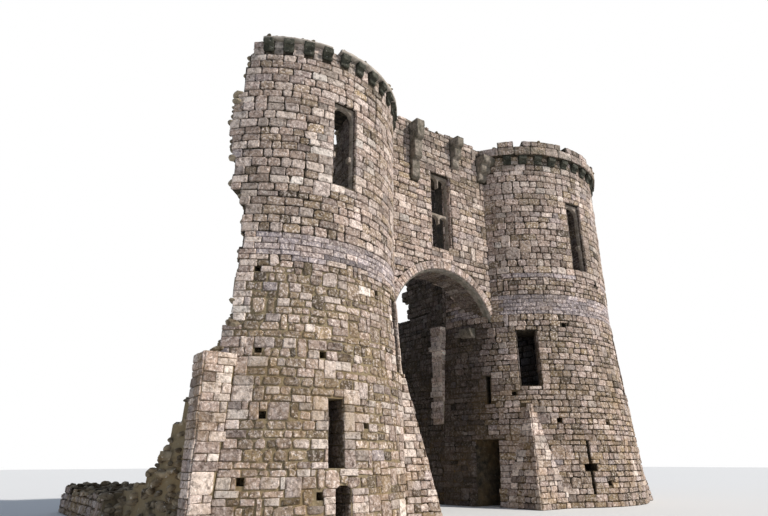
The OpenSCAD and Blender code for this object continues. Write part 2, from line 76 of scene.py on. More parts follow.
JAMB_T = 0.6
JAMB_FOOT = 3.06
JAMB_TOP = 7.2
REVEAL = 0.32
# Each opening is its angle from the front, bottom, top, width outside and width inside.
LEFT_OPENINGS = (
    (1.5, 9.55, 12.5, 0.87, 1.3),
    (41, 4.2, 6.6, 0.8, 1.2),
    (-2.3, 1.45, 3.15, 0.48, 0.9),
    (0, 0, 1.05, 0.48, 0.7),
)
RIGHT_OPENINGS = (
    (-5, 9.45, 12.65, 0.88, 1.3),
    (-43, 4.4, 6.65, 0.85, 1.2),
    (27, 4.3, 6.9, 0.85, 1.2),
    (-64, 3.75, 4.85, 0.18, 0.6),
    (-19.5, 0.45, 2.35, 0.15, 0.7),
)
# Each spur is its tower's axis, its side, half its foot, how much it draws in for each metre,
# its height and its tower's radius.
SPURS = (
    (LEFT_AXIS, -1, 3.5, 0.02, 4.2, LEFT_R),
    (LEFT_AXIS, 1, 3.85, 0.184, 4.2, LEFT_R),
    (RIGHT_AXIS, -1, 4.25, 0.23, 3.7, RIGHT_R),
    (RIGHT_AXIS, 1, 3.75, 0.15, 2.0, RIGHT_R),
)

# Fineness of the grid on which the faces are tested
GRID = 0.06
# How far above a surface a ray starts, and how far the model may be off the face
RAY_START = 0.02
RAY_SLACK = 0.03
# How far out a point of a face has to be free, and how far out a broken top or end has to be
FREE_OUT = 3
FREE_UP = 30
# Painted shade: how much darker the stones are made in the rooms, in the windows' reveals and deep in the
# passage
ROOM_PAINTED_SHADE = 0.4
REVEAL_PAINTED_SHADE = 0.4
PASSAGE_PAINTED_SHADE = 0.28
# Over what depth the painted shade of the passage gets that dark
PASSAGE_SHADE_DEPTH = 1.1
# How deep the stones are set into the face
SINK = 0.03
# Above any face: a zone of courses with this top goes on to the top of its face
TO_TOP = 20
# How joints and worn corners vary, as shares of what the style says
JOINT_SPREAD = (0.4, 1.7)
CORNER_SPREAD = (0.3, 2.0)
# How light a stone is beside the others: middle and spread, then the darkest and lightest
SHADE = (1.03, 0.2)
SHADE_LIMITS = (0.5, 1.45)
# Half the size below which a stone is left out
SMALLEST = 0.03
# A rest below this share of the smallest stone or course is joined to the one before it
REST = 0.6
# What is larger than this many times the largest course or stone is halved
COURSE_EXCESS = 1.25
STONE_EXCESS = 1.3
# How much of a course's height has to be there for a run of stones, and how much of a row for a stone
RUN_SHARE = 0.45
ROW_SHARE = 0.5
# Widths of the corner stones, which change from course to course
QUOIN_WIDTHS = (0.32, 0.5)
# Loose stones are kept out of the side doors: their top, their place beside the arch and their back
DOOR_TOP = 2.6
DOOR_SIDE = 4.3
DOOR_BACK = 1.5
DEGREE = math.pi / 180


def linear(code):
    """A linear colour from an sRGB hex value."""
    parts = [int(code[i : i + 2], 16) / 255 for i in (1, 3, 5)]
    return tuple(c / 12.92 if c <= 0.04045 else ((c + 0.055) / 1.055) ** 2.4 for c in parts) + (1.0,)


def add(tree, kind, given=None, **settings):
    """Adds a node with its settings. Each socket is given a value or another node's output."""
    node = tree.nodes.new(kind)
    for name, value in settings.items():
        setattr(node, name, value)
    for name, value in (given or {}).items():
        if isinstance(value, bpy.types.NodeSocket):
            tree.links.new(value, node.inputs[name])
        else:
            node.inputs[name].default_value = value
    return node


# Faces of the building


class Face:
    """One face: place(u, v) gives the points and outward normals for lengths along it and heights on it."""

    def __init__(self, place, length, height):
        self.place = place
        self.length = length
        self.height = height


def out_r(radius, z):
    """A tower's outer radius at a height: its foot spreads."""
    return radius + BATTER * np.maximum(0, 1 - z / BATTER_H)


def round_face(axis, radius, angle0, angle1, z0, z1, inside=False, battered=True):
    """A round wall between two angles, measured from the front and to the right as seen from outside."""
    a0, a1 = angle0 * DEGREE, angle1 * DEGREE

    def place(u, v):
        a = a1 - u / radius if inside else a0 + u / radius
        z = z0 + v
        r = out_r(radius, z) if battered else radius + 0 * z
        slope = np.where((z < BATTER_H) & battered, BATTER / BATTER_H, 0.0)
        point = np.stack([axis[0] + r * np.sin(a), axis[1] - r * np.cos(a), z], -1)
        normal = np.stack([np.sin(a), -np.cos(a), slope], -1)
        normal /= np.linalg.norm(normal, axis=-1, keepdims=True)
        return point, -normal if inside else normal

    return Face(place, (a1 - a0) * radius, z1 - z0)


def flank_face(axis, radius, side, y0, y1, z0, z1, battered=True):
    """A straight flank that looks to one side."""

    def place(u, v):
        z = z0 + v
        y = y0 + u if side > 0 else y1 - u
        r = out_r(radius, z) if battered else radius + 0 * z
        slope = np.where((z < BATTER_H) & battered, BATTER / BATTER_H, 0.0)
        point = np.stack([axis[0] + side * r + 0 * u, axis[1] + y, z + 0 * u], -1)
        normal = np.stack([side + 0 * z, 0 * z, slope], -1)
        return point, normal / np.linalg.norm(normal, axis=-1, keepdims=True)

    return Face(place, y1 - y0, z1 - z0)


def flat_face(start, along, up, length, height):
    """A flat face from its lower left corner."""
    start, along, up = (np.array(v, float) for v in (start, along, up))
    along /= np.linalg.norm(along)
    up /= np.linalg.norm(up)
    normal = np.cross(along, up)

    def place(u, v):
        point = start + u[..., None] * along + v[..., None] * up
        return point, np.broadcast_to(normal, point.shape)

    return Face(place, length, height)


def arch_face(r0, r1):
    """The front of the ring of arch stones: u runs around the arch and v outwards."""

    def place(u, v):
        a = math.pi - u / r0
        r = r0 + v
        point = np.stack([ARCH_X + r * np.cos(a), GATE_FRONT + 0 * r, ARCH_Z + r * np.sin(a)], -1)
        return point, np.broadcast_to(np.array([0.0, -1.0, 0.0]), point.shape)

    return Face(place, math.pi * r0, r1 - r0)


def soffit_face(radius, y0, y1):
    """The underside of the arch: u runs around the arch and v towards the back."""

    def place(u, v):
        a = u / radius
        point = np.stack([ARCH_X + radius * np.cos(a), y0 + v + 0 * u, ARCH_Z + radius * np.sin(a)], -1)
        normal = np.stack([-np.cos(a), 0 * a, -np.sin(a)], -1)
        return point, normal + 0 * v[..., None]

    return Face(place, math.pi * radius, y1 - y0)


def model_tree():
    """All CAD triangles in one search tree."""
    points, triangles = [], []
    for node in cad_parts.values():
        mesh = node.data
        mesh.calc_loop_triangles()
        base = len(points)
        points += [v.co.copy() for v in mesh.vertices]
        triangles += [tuple(base + i for i in t.vertices) for t in mesh.loop_triangles]
    return BVHTree.FromPolygons(points, triangles)


model = model_tree()


def shown(point, normal, reach):
    """Whether the model has an open surface at this point."""
    start = point + normal * reach
    hit = model.ray_cast(start, -normal, reach + RAY_SLACK)
    if hit[0] is None or hit[3] < reach - RAY_SLACK:
        return False
    way_out = model.ray_cast(point + normal * RAY_START, normal, FREE_OUT)
    return way_out[0] is None or way_out[1].dot(normal) < 0


def on_arch_ring(points):
    """Whether points of the gate wall lie on its arch stones."""
    return np.hypot(points[:, 0] - ARCH_X, points[:, 2] - ARCH_Z) < ARCH_R + RING_T


def presence(face, reach=0.12, spared=None):
    """On a fine grid, where the model has an open surface here that isn't spared for other stones."""
    nu, nv = max(1, round(face.length / GRID)), max(1, round(face.height / GRID))
    u = (np.arange(nu) + 0.5) * face.length / nu
    v = (np.arange(nv) + 0.5) * face.height / nv
    uu, vv = np.meshgrid(u, v, indexing="ij")
    points, normals = face.place(uu.ravel(), vv.ravel())
    seen = np.array([shown(Vector(p), Vector(n), reach) for p, n in zip(points, normals)])
    if spared:
        seen &= ~spared(points)
    return seen.reshape(nu, nv)


# How stones are cut and laid: height of a course, width of a stone, joint, unevenness of the outline,
# how much the corners are rounded, how far the stones stand out, and the share that is two courses high.
STYLES = {
    "blocks": ((0.23, 0.32), (0.26, 0.64), 0.026, 0.014, 0.28, (0.015, 0.055), 0.03),
    "coursed": ((0.17, 0.27), (0.2, 0.5), 0.028, 0.015, 0.3, (0.015, 0.055), 0.05),
    "rubble": ((0.16, 0.29), (0.16, 0.5), 0.04, 0.02, 0.36, (0.005, 0.035), 0.1),
    "ashlar": ((0.15, 0.2), (0.35, 0.75), 0.014, 0.004, 0.08, (0.02, 0.03), 0),
    "dressed": ((0.26, 0.34), (0.3, 0.6), 0.018, 0.007, 0.14, (0.02, 0.04), 0),
    "large": ((0.4, 0.4), (0.45, 0.95), 0.026, 0.012, 0.16, (0.02, 0.06), 0),
    "voussoirs": ((0.4, 0.4), (0.14, 0.21), 0.012, 0.005, 0.08, (0.02, 0.032), 0),
    "soffit": ((0.2, 0.6), (0.16, 0.26), 0.018, 0.008, 0.12, (0.01, 0.035), 0),
    "hall": ((0.26, 0.4), (0.3, 0.8), 0.045, 0.02, 0.25, (0.01, 0.05), 0.04),
    "toothed": ((0.19, 0.25), (0.35, 0.4), 0.014, 0.01, 0.12, (0.01, 0.03), 0),
    "toothing": ((0.19, 0.25), (0.5, 0.7), 0.014, 0.012, 0.12, (0.0, 0.2), 0),
    "flags": ((0.4, 0.6), (0.4, 0.8), 0.02, 0.01, 0.1, (0.006, 0.015), 0),
}
# Where a stone's colour lies on the ramp of stone colours: middle, spread and weight.
PALETTES = {
    "cream": ((0.56, 0.03, 6), (0.85, 0.04, 4), (0.43, 0.04, 3), (0.22, 0.08, 1), (0.97, 0.03, 0.6)),
    "ochre": ((0.3, 0.05, 3), (0.42, 0.04, 5), (0.54, 0.03, 4), (0.84, 0.03, 0.5), (0.12, 0.05, 1)),
    "lavender": ((0.71, 0.02, 8), (0.64, 0.02, 2)),
    "warm": ((0.44, 0.04, 5), (0.56, 0.03, 5), (0.3, 0.06, 1.5), (0.84, 0.04, 2), (0.1, 0.05, 0.8)),
    "pale": ((0.87, 0.05, 4), (0.57, 0.03, 2)),
    "pink": ((0.57, 0.03, 5), (0.66, 0.03, 2), (0.84, 0.04, 3), (0.44, 0.04, 2)),
}


def passage_painted_shade(x, y, z):
    """Painted shade on the stones between the towers: how much darker they are made, more and more so inwards
    from the front.
    """
    start = GATE_FRONT - 0.5 if z < ARCH_Z + 1 else GATE_BACK + 0.1
    if abs(x - ARCH_X) > GATE_HALF + 0.5:
        return 1.0
    return 1.0 - (1.0 - PASSAGE_PAINTED_SHADE) * min(1.0, max(0.0, (y - start) / PASSAGE_SHADE_DEPTH))


class Bed:
    """Collects the outlines of stones. Its first value paints shade or light on all of them, and those in the
    passage also get the passage's painted shade.
    """

    def __init__(self, painted_light=1.0, paint_passage_shade=True):
        self.painted_light = painted_light
        self.paint_passage_shade = paint_passage_shade
        self.points = []
        self.sizes = []
        self.proud = []
        self.tint = []
        self.shade = []

    def stone(self, face, u0, u1, v0, v1, style, palette, rng):
        """One stone: its outline with eight worn corners, and how it looks beside the others."""
        _, _, joint, uneven, rounded, proud, _ = STYLES[style]
        w = (u1 - u0 - joint * rng.uniform(*JOINT_SPREAD)) / 2
        h = (v1 - v0 - joint * rng.uniform(*JOINT_SPREAD)) / 2
        if w < SMALLEST or h < SMALLEST:
            return
        c = min(w, h) * rounded * rng.uniform(*CORNER_SPREAD, 8)
        outline = np.array(
            [
                (-w + c[0], -h), (w - c[1], -h), (w, -h + c[2]), (w, h - c[3]),
                (w - c[4], h), (-w + c[5], h), (-w, h - c[6]), (-w, -h + c[7]),
            ]
        )
        outline += rng.uniform(-uneven, uneven, outline.shape)
        outline += ((u0 + u1) / 2, (v0 + v1) / 2)
        point, normal = face.place(outline[:, 0], outline[:, 1])
        weights = np.array([p[2] for p in PALETTES[palette]], float)
        middle, spread, _ = PALETTES[palette][rng.choice(len(weights), p=weights / weights.sum())]
        self.points.append(point - normal * SINK)
        self.sizes.append(len(point))
        self.proud.append(SINK + rng.uniform(*proud))
        self.tint.append(float(np.clip(rng.normal(middle, spread), 0, 1)))
        # painted light or shade for the whole bed, times the painted shade of the passage
        painted_light = self.painted_light * (passage_painted_shade(*point.mean(0)) if self.paint_passage_shade else 1.0)
        self.shade.append(painted_light * float(np.clip(rng.normal(*SHADE), *SHADE_LIMITS)))

    def mesh(self, name):
        """One mesh with a face for each stone, and what the stones carry as attributes."""
        points = np.concatenate(self.points)
        starts = np.concatenate([[0], np.cumsum(self.sizes)[:-1]])
        faces = [tuple(range(s, s + n)) for s, n in zip(starts.tolist(), self.sizes)]
        mesh = bpy.data.meshes.new(name)
        mesh.from_pydata(points.tolist(), [], faces)
        for key in ("proud", "tint", "shade"):
            mesh.attributes.new(key, "FLOAT", "FACE").data.foreach_set("value", getattr(self, key))
        return mesh


def course_heights(height, zones, rng):
    """Heights of the beds from the bottom of a face up, with the style and palette of each course."""
    beds = [0.0]
    kinds = []
    for top, style, palette in zones:
        top = min(top, height)
        low, high = STYLES[style][0]
        while beds[-1] < top - 0.02:
            rise = rng.uniform(low, high)
            left = top - beds[-1] - rise
            if left < low * REST:
                rise = top - beds[-1]
                if rise > high * COURSE_EXCESS:
                    rise /= 2
            beds.append(beds[-1] + rise)
            kinds.append((style, palette))
    return beds, kinds


def runs(flags):
    """Where a row of flags is true: starts and ends."""
    edges = np.flatnonzero(np.diff(np.concatenate([[0], flags.astype(int), [0]])))
    return list(zip(edges[::2], edges[1::2]))


def lay(bed, face, zones, seed, quoins=False, reach=0.12, spared=None):
    """Lays courses wherever the model has this face. zones are (top, style, palette), from the bottom up."""
    rng = np.random.default_rng(seed)
    there = presence(face, reach, spared)
    dv = face.height / there.shape[1]
    beds, kinds = course_heights(face.height, zones, rng)
    for k, (style, palette) in enumerate(kinds):
        j0, j1 = round(beds[k] / dv), max(round(beds[k] / dv) + 1, round(beds[k + 1] / dv))
        rows = there[:, j0:j1]
        if rows.size == 0:
            continue
        for i0, i1 in runs(rows.mean(1) > RUN_SHARE):
            lay_run(bed, face, there, (i0, i1), style, palette, k, quoins, rng, beds)


def lay_run(bed, face, there, columns, style, palette, course, quoins, rng, beds):
    """One unbroken run of stones in a course."""
    heights = (beds[course], beds[course + 1])
    nu, nv = there.shape
    du, dv = face.length / nu, face.height / nv
    _, (low, high), _, _, _, _, tall = STYLES[style]
    end = columns[1] * du
    u = columns[0] * du
    first = True
    while u < end - 0.04:
        width = rng.uniform(low, high)
        kind, colour = style, palette
        corner = quoins and (first or end - u < high)
        if corner:
            width = QUOIN_WIDTHS[(course + first) % 2]
            kind, colour = "dressed", quoins
        if end - u - width < low * REST:
            width = end - u
        if width > high * STONE_EXCESS and not corner:
            width /= 2
        i0, i1 = round(u / du), max(round(u / du) + 1, round((u + width) / du))
        j0, j1 = round(heights[0] / dv), max(round(heights[0] / dv) + 1, round(heights[1] / dv))
        rows = np.flatnonzero(there[i0:i1, j0:j1].mean(0) > ROW_SHARE)
        if len(rows) and style == "voussoirs":
            bed.stone(face, u, u + width, heights[0], heights[1], kind, colour, rng)
        elif len(rows) > 1 or len(rows) == j1 - j0 == 1:
            v0 = heights[0] if rows[0] == 0 else (j0 + rows[0]) * dv
            v1 = heights[1] if rows[-1] == j1 - j0 - 1 else (j0 + rows[-1] + 1) * dv
            if rng.random() < tall and v1 == heights[1] and course + 2 < len(beds):
                top = round(beds[course + 2] / dv)
                above = there[i0:i1, j1:top]
                if above.size and above.all():
                    above[:] = False
                    v1 = beds[course + 2]
            bed.stone(face, u, u + width, v0, v1, kind, colour, rng)
        u += width
        first = False


# Trees of Geometry Nodes


def new_tree(name, sockets):
    """A tree that works on a mesh, with these named inputs."""
    tree = bpy.data.node_groups.new(name, "GeometryNodeTree")
    tree.interface.new_socket("Geometry", in_out="INPUT", socket_type="NodeSocketGeometry")
    tree.interface.new_socket("Geometry", in_out="OUTPUT", socket_type="NodeSocketGeometry")
    for label, kind in sockets:
        tree.interface.new_socket(label, in_out="INPUT", socket_type=kind)
    return tree, add(tree, "NodeGroupInput")


def uneven_surface(tree, mesh, amount, size):
    """Moves each point of a mesh by soft noise of a given size."""
    at = add(tree, "GeometryNodeInputPosition").outputs[0]
    per_metre = add(tree, "ShaderNodeMath", {0: 1.0, 1: size}, operation="DIVIDE").outputs[0]
    noise = add(tree, "ShaderNodeTexNoise", {"Detail": 2.0, "Vector": at, "Scale": per_metre})
    around_zero = {0: noise.outputs["Color"], 1: (0.5, 0.5, 0.5)}
    centred = add(tree, "ShaderNodeVectorMath", around_zero, operation="SUBTRACT").outputs[0]
    shift = add(tree, "ShaderNodeVectorMath", {0: centred, "Scale": amount}, operation="SCALE").outputs[0]
    return add(tree, "GeometryNodeSetPosition", {"Geometry": mesh, "Offset": shift}).outputs[0]


def finish_tree(tree, mesh, material):
    """Ends a tree with real geometry in one material."""
    real = add(tree, "GeometryNodeRealizeInstances", {0: mesh}).outputs[0]
    painted = add(tree, "GeometryNodeSetMaterial", {"Geometry": real, "Material": material}).outputs[0]
    add(tree, "NodeGroupOutput", {0: painted})
    return tree


def stone_tree():
    """Grows each outline into a block with a worn edge and a closed back."""
    tree, given = new_tree(
        "stone_blocks",
        [
            ("Worn width", "NodeSocketFloat"), ("Worn depth", "NodeSocketFloat"),
            ("Unevenness", "NodeSocketFloat"), ("Lump size", "NodeSocketFloat"),
            ("Material", "NodeSocketMaterial"),
        ],
    )
    start = given.outputs["Geometry"]
    proud = add(tree, "GeometryNodeInputNamedAttribute", {"Name": "proud"}, data_type="FLOAT").outputs[0]
    body = add(tree, "GeometryNodeExtrudeMesh", {"Individual": True, "Mesh": start, "Offset Scale": proud})
    edge = add(
        tree, "GeometryNodeExtrudeMesh",
        {
            "Individual": True, "Mesh": body.outputs[0], "Selection": body.outputs[1],
            "Offset Scale": given.outputs["Worn depth"],
        },
    )
    top = add(
        tree, "GeometryNodeScaleElements",
        {"Geometry": edge.outputs[0], "Selection": edge.outputs[1], "Scale": given.outputs["Worn width"]},
    ).outputs[0]
    back = add(tree, "GeometryNodeFlipFaces", {0: start}).outputs[0]
    whole = add(tree, "GeometryNodeJoinGeometry")
    tree.links.new(top, whole.inputs[0])
    tree.links.new(back, whole.inputs[0])
    seams = {"Distance": 0.0002, "Geometry": whole.outputs[0]}
    closed = add(tree, "GeometryNodeMergeByDistance", seams).outputs[0]
    rough = uneven_surface(tree, closed, given.outputs["Unevenness"], given.outputs["Lump size"])
    return finish_tree(tree, rough, given.outputs["Material"])


def rock_tree():
    """Puts a rough stone on each point, turned and scaled at random, and makes each one uneven."""
    tree, given = new_tree(
        "broken_core",
        [
            ("Smallest", "NodeSocketFloat"), ("Largest", "NodeSocketFloat"), ("Seed", "NodeSocketInt"),
            ("Unevenness", "NodeSocketFloat"), ("Lump size", "NodeSocketFloat"),
            ("Material", "NodeSocketMaterial"),
        ],
    )
    seed = given.outputs["Seed"]
    stone = add(tree, "GeometryNodeMeshIcoSphere", {"Radius": 1.0, "Subdivisions": 2}).outputs[0]
    points = add(tree, "GeometryNodeMeshToPoints", {"Mesh": given.outputs["Geometry"]}).outputs[0]
    turn = add(
        tree, "FunctionNodeRandomValue",
        {0: (-0.35, -0.35, 0.0), 1: (0.35, 0.35, 6.283), "Seed": seed}, data_type="FLOAT_VECTOR",
    ).outputs[0]
    size = add(
        tree, "FunctionNodeRandomValue",
        {2: given.outputs["Smallest"], 3: given.outputs["Largest"], "Seed": seed}, data_type="FLOAT",
    ).outputs[1]
    form = add(
        tree, "FunctionNodeRandomValue",
        {0: (0.9, 0.6, 0.45), 1: (1.5, 1.0, 0.8), "Seed": seed}, data_type="FLOAT_VECTOR",
    ).outputs[0]
    scale = add(tree, "ShaderNodeVectorMath", {0: form, "Scale": size}, operation="SCALE").outputs[0]
    shade = add(
        tree, "FunctionNodeRandomValue", {2: 0.45, 3: 1.3, "Seed": seed}, data_type="FLOAT",
    ).outputs[1]
    named = add(
        tree, "GeometryNodeStoreNamedAttribute", {"Geometry": points, "Name": "shade", "Value": shade},
        data_type="FLOAT", domain="POINT",
    ).outputs[0]
    spread = add(
        tree, "GeometryNodeInstanceOnPoints",
        {"Points": named, "Instance": stone, "Rotation": turn, "Scale": scale},
    ).outputs[0]
    real = add(tree, "GeometryNodeRealizeInstances", {0: spread}).outputs[0]
    rough = uneven_surface(tree, real, given.outputs["Unevenness"], given.outputs["Lump size"])
    return finish_tree(tree, rough, given.outputs["Material"])


def weather_tree():
    """Wears a dressed piece: its surface becomes uneven."""
    tree, given = new_tree(
        "weathered_piece",
        [
            ("Unevenness", "NodeSocketFloat"), ("Lump size", "NodeSocketFloat"),
            ("Material", "NodeSocketMaterial"),
        ],
    )
    start = given.outputs["Geometry"]
    rough = uneven_surface(tree, start, given.outputs["Unevenness"], given.outputs["Lump size"])
    return finish_tree(tree, rough, given.outputs["Material"])


STONES = stone_tree()
ROCKS = rock_tree()
WEATHER = weather_tree()


def grown(name, mesh, tree, values, voxel=None):
    """A finished piece: the tree's result on a mesh, as a plain mesh."""
    piece = bpy.data.objects.new(name, mesh)
    bpy.context.scene.collection.objects.link(piece)
    if voxel:
        remesh = piece.modifiers.new("remesh", "REMESH")
        remesh.mode = "VOXEL"
        remesh.voxel_size = voxel
    grow = piece.modifiers.new("grow", "NODES")
    grow.node_group = tree
    for item in tree.interface.items_tree:
        if item.in_out == "INPUT" and item.name in values:
            grow[item.identifier] = values[item.name]
    graph = bpy.context.evaluated_depsgraph_get()
    result = bpy.data.meshes.new_from_object(piece.evaluated_get(graph), depsgraph=graph)
    piece.modifiers.clear()
    piece.data = result
    result.name = name
    return piece


# Materials


def material(name, roughness):
    """A dull stone: its material, its tree, its shader and where a point lies on the piece."""
    made = bpy.data.materials.new(name)
    made.use_nodes = True
    tree = made.node_tree
    shader = tree.nodes["Principled BSDF"]
    shader.inputs["Roughness"].default_value = roughness
    shader.inputs["IOR"].default_value = 1.5
    shader.inputs["Specular IOR Level"].default_value = 0.25
    return made, tree, shader, add(tree, "ShaderNodeTexCoord").outputs["Object"]


def patches(tree, where, size, detail, low, high):
    """Soft patches of a size in millimetres: 0 below one level of the noise and 1 above another."""
    cloud = add(
        tree, "ShaderNodeTexNoise",
        {"Vector": where, "Scale": 1000 / size, "Detail": detail, "Roughness": 0.6},
    ).outputs["Fac"]
    return add(
        tree, "ShaderNodeMapRange", {"Value": cloud, "From Min": low, "From Max": high}, clamp=True
    ).outputs[0]


def stained(tree, colour, code, amount, spots, within=1.0):
    """A colour with a stain over it, in these spots and only within a zone."""
    zoned = add(tree, "ShaderNodeMath", {0: spots, 1: within}, operation="MULTIPLY").outputs[0]
    share = add(tree, "ShaderNodeMath", {0: zoned, 1: amount}, operation="MULTIPLY").outputs[0]
    return add(tree, "ShaderNodeMix", {0: share, 6: colour, 7: linear(code)}, data_type="RGBA").outputs[2]


def relief(tree, shader, heights):
    """Lays relief on a material. heights are (socket, depth in metres)."""
    last = None
    for height, depth in heights:
        given = {"Distance": depth, "Strength": 1.0, "Height": height}
        if last:
            given["Normal"] = last
        last = add(tree, "ShaderNodeBump", given).outputs[0]
    tree.links.new(last, shader.inputs["Normal"])


def weathering(tree, colour, where, lichen=1.0):
    """Grime, stains and lichen that lie over stones and joints alike."""
    height = add(tree, "ShaderNodeSeparateXYZ", {0: where}).outputs[2]
    crown = add(
        tree, "ShaderNodeMapRange", {"Value": height, "From Min": 12.8, "From Max": 14.6}, clamp=True
    ).outputs[0]
    foot = add(
        tree, "ShaderNodeMapRange", {"Value": height, "From Min": 6.5, "From Max": 3.0}, clamp=True
    ).outputs[0]
    colour = stained(tree, colour, "#57564a", 0.6 * lichen, patches(tree, where, 380, 5, 0.45, 0.62), crown)
    colour = stained(tree, colour, "#6f6350", 0.45, patches(tree, where, 1900, 5, 0.5, 0.75))
    colour = stained(tree, colour, "#9a7d52", 0.4, patches(tree, where, 900, 5, 0.46, 0.66), foot)
    return stained(tree, colour, "#e4ddd2", 0.6 * lichen, patches(tree, where, 100, 4, 0.62, 0.68))


def facing_material():
    """Limestone rubble and blocks, split and weathered: dull, each of its own colour, with lichen."""
    made, tree, shader, where = material("weathered_limestone", 0.9)
    tint = add(tree, "ShaderNodeAttribute", attribute_name="tint").outputs["Fac"]
    shade = add(tree, "ShaderNodeAttribute", attribute_name="shade").outputs["Fac"]
    ramp = add(tree, "ShaderNodeValToRGB", {0: tint})
    colours = ("#4a4239", "#7a6c58", "#9c876a", "#a08d79", "#b6a092", "#a19799", "#d0bdae", "#efe4d8")
    while len(ramp.color_ramp.elements) < len(colours):
        ramp.color_ramp.elements.new(0.5)
    for index, code in enumerate(colours):
        ramp.color_ramp.elements[index].position = index / (len(colours) - 1)
        ramp.color_ramp.elements[index].color = linear(code)
    colour = stained(tree, ramp.outputs[0], "#503f33", 0.75, patches(tree, where, 130, 6, 0.46, 0.64))
    colour = stained(tree, colour, "#f4e4d9", 0.75, patches(tree, where, 75, 5, 0.5, 0.65))
    colour = weathering(tree, colour, where)
    toned = add(tree, "ShaderNodeVectorMath", {0: colour, "Scale": shade}, operation="SCALE").outputs[0]
    tree.links.new(toned, shader.inputs["Base Color"])
    coarse = patches(tree, where, 110, 6, 0.2, 0.8)
    fine = patches(tree, where, 24, 4, 0, 1)
    relief(tree, shader, [(coarse, 0.05), (fine, 0.012)])
    return made


def mortar_material():
    """Lime mortar with grit: dark and washed out high up, pale and flush on the left tower's foot."""
    made, tree, shader, where = material("lime_mortar", 0.95)
    place = add(tree, "ShaderNodeSeparateXYZ", {0: where}).outputs
    pointed = 1.0
    for axis, outside, inside in ((2, 7.0, 6.4), (0, -3.4, -4.0), (1, -1.0, -1.6)):
        within = {"Value": place[axis], "From Min": outside, "From Max": inside}
        share = add(tree, "ShaderNodeMapRange", within, clamp=True).outputs[0]
        pointed = add(tree, "ShaderNodeMath", {0: share, 1: pointed}, operation="MULTIPLY").outputs[0]
    colour = add(tree, "ShaderNodeRGB").outputs[0]
    colour.default_value = linear("#2a251e")
    colour = stained(tree, colour, "#6a5e4c", 0.9, patches(tree, where, 170, 5, 0.42, 0.7))
    colour = stained(tree, colour, "#938468", 0.95, patches(tree, where, 400, 5, 0.25, 0.5), pointed)
    tree.links.new(weathering(tree, colour, where, 0.3), shader.inputs["Base Color"])
    relief(tree, shader, [(patches(tree, where, 70, 6, 0, 1), 0.03)])
    return made


def cut_stone(name, dark, light, crust):
    """Cut limestone, worn and crusted with lichen, from its dark patches to its light ones."""
    made, tree, shader, where = material(name, 0.88)
    colour = add(tree, "ShaderNodeRGB").outputs[0]
    colour.default_value = linear(dark)
    colour = stained(tree, colour, light, 1.0, patches(tree, where, 300, 5, 0.38, 0.62))
    colour = stained(tree, colour, "#35352d", crust, patches(tree, where, 120, 5, 0.45, 0.65))
    colour = stained(tree, colour, "#e4ddd2", 0.5, patches(tree, where, 60, 4, 0.62, 0.7))
    tree.links.new(colour, shader.inputs["Base Color"])
    coarse = patches(tree, where, 100, 6, 0.2, 0.8)
    fine = patches(tree, where, 20, 4, 0, 1)
    relief(tree, shader, [(coarse, 0.03), (fine, 0.006)])
    return made


def core_material():
    """Broken core of the walls: rough stones in mortar, brown and grey, some of them in deep shade."""
    made, tree, shader, where = material("broken_rubble_core", 0.95)
    shade = add(tree, "ShaderNodeAttribute", attribute_name="shade").outputs["Fac"]
    colour = add(tree, "ShaderNodeRGB").outputs[0]
    colour.default_value = linear("#544838")
    colour = stained(tree, colour, "#ab9d86", 1.0, patches(tree, where, 300, 4, 0.35, 0.65))
    colour = weathering(tree, colour, where)
    toned = add(tree, "ShaderNodeVectorMath", {0: colour, "Scale": shade}, operation="SCALE").outputs[0]
    tree.links.new(toned, shader.inputs["Base Color"])
    relief(tree, shader, [(patches(tree, where, 60, 6, 0, 1), 0.02)])
    return made


FACING = facing_material()
MORTAR = mortar_material()
CORE = core_material()
# window frames and tracery: weathered to a warm grey
DRESSED = cut_stone("cut_limestone", "#8a7f70", "#b9aa9b", 0.4)
# the corbels under the parapets: nearly black, partly from lichen and soot and partly painted shade of their
# shaded faces
CORBELS_PAINTED_SHADE = cut_stone("corbel_stone_lichen_and_painted_shade", "#33342b", "#56564a", 0.6)
# the slabs on the left tower, bleached by the weather
SLABS = cut_stone("bleached_slab_stone", "#a89e90", "#cfc5b8", 0.15)
# the stepped brackets: grey, with dark crusts
BRACKETS = cut_stone("bracket_stone", "#655f51", "#9b9083", 0.6)
# the arch's mouldings: grey-green, with pale edges
ARCH_STONE = cut_stone("arch_moulding_stone", "#726f62", "#a0968a", 0.3)
# the broken jambs in the passage: pale stone, made paler still with painted sunlight
JAMB_PAINTED_SUNLIT = cut_stone("jamb_stone_painted_sunlit", "#a3967f", "#d0c3b0", 0.2)


# Laying the walls


def finish_bed(name, bed, uneven=0.05, lump=0.15):
    """Grows the stones of a bed into one piece of this name."""
    values = {
        "Worn width": 0.84, "Worn depth": 0.016, "Unevenness": uneven, "Lump size": lump, "Material": FACING,
    }
    piece = grown(name, bed.mesh(name), STONES, values)
    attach(piece, "root")


def tower_fronts():
    """The round fronts. Low down the left one has rough rubble, and smoother bands run around both."""
    left = [
        (3.4, "rubble", "ochre"), (6.85, "rubble", "ochre"), (7.7, "ashlar", "lavender"),
        (9.0, "blocks", "warm"), (LEFT_TOP, "blocks", "cream"),
    ]
    bed = Bed()
    lay(bed, round_face(LEFT_AXIS, LEFT_R, -62, 90, 0, LEFT_TOP), left, 11, quoins="pale")
    finish_bed("left_tower_facing", bed)
    right = [
        (7.35, "coursed", "warm"), (8.2, "ashlar", "lavender"), (8.95, "coursed", "warm"),
        (9.15, "ashlar", "lavender"), (RIGHT_TOP, "blocks", "cream"),
    ]
    bed = Bed()
    lay(bed, round_face(RIGHT_AXIS, RIGHT_R, -90, 90, 0, RIGHT_TOP), right, 12, quoins="warm")
    finish_bed("right_tower_facing", bed)


